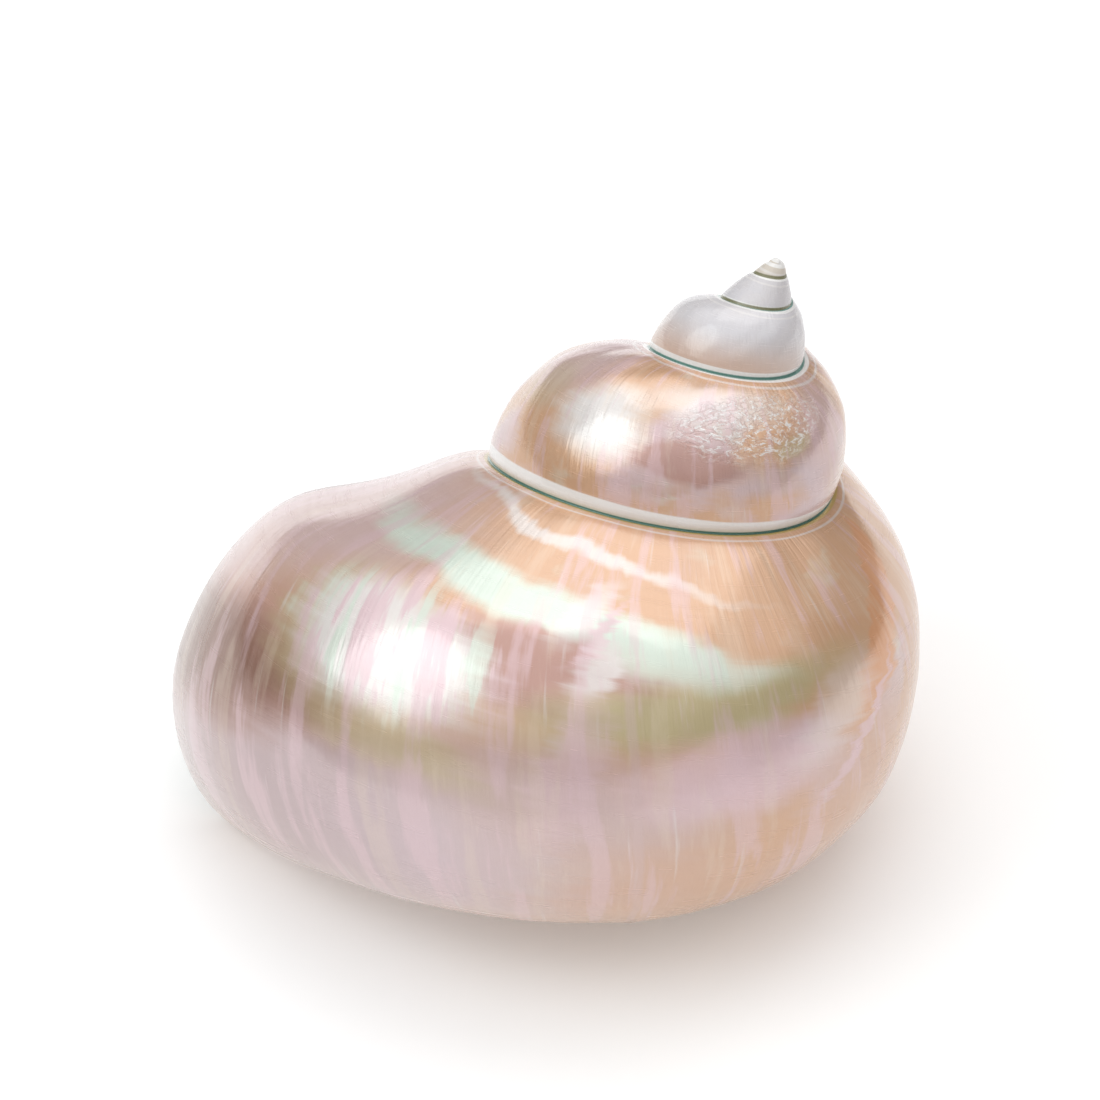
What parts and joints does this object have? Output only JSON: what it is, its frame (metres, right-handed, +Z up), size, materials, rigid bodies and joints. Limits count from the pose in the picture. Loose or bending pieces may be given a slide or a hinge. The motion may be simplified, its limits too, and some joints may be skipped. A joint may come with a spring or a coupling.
{
  "type": "turban shell",
  "caption": "Polished mother-of-pearl turban shell: a round right-handed coiled seashell with a short stepped spire and a hollow last whorl that opens in a wide mouth.",
  "frame": {"origin": "on the surface that the shell rests on, under the centre of its bounding box", "axes": "+Z is up, +X runs across the widest part of the body whorl towards the side the spire leans to, and the mouth opens towards +Y and -X"},
  "size_m": [0.09, 0.0734, 0.0676],
  "materials": {
    "nacre": "polished pink and peach mother-of-pearl with green lights, glossy"
  },
  "bodies": {
    "root": {"shell": "nacre"}
  },
  "joints": []
}
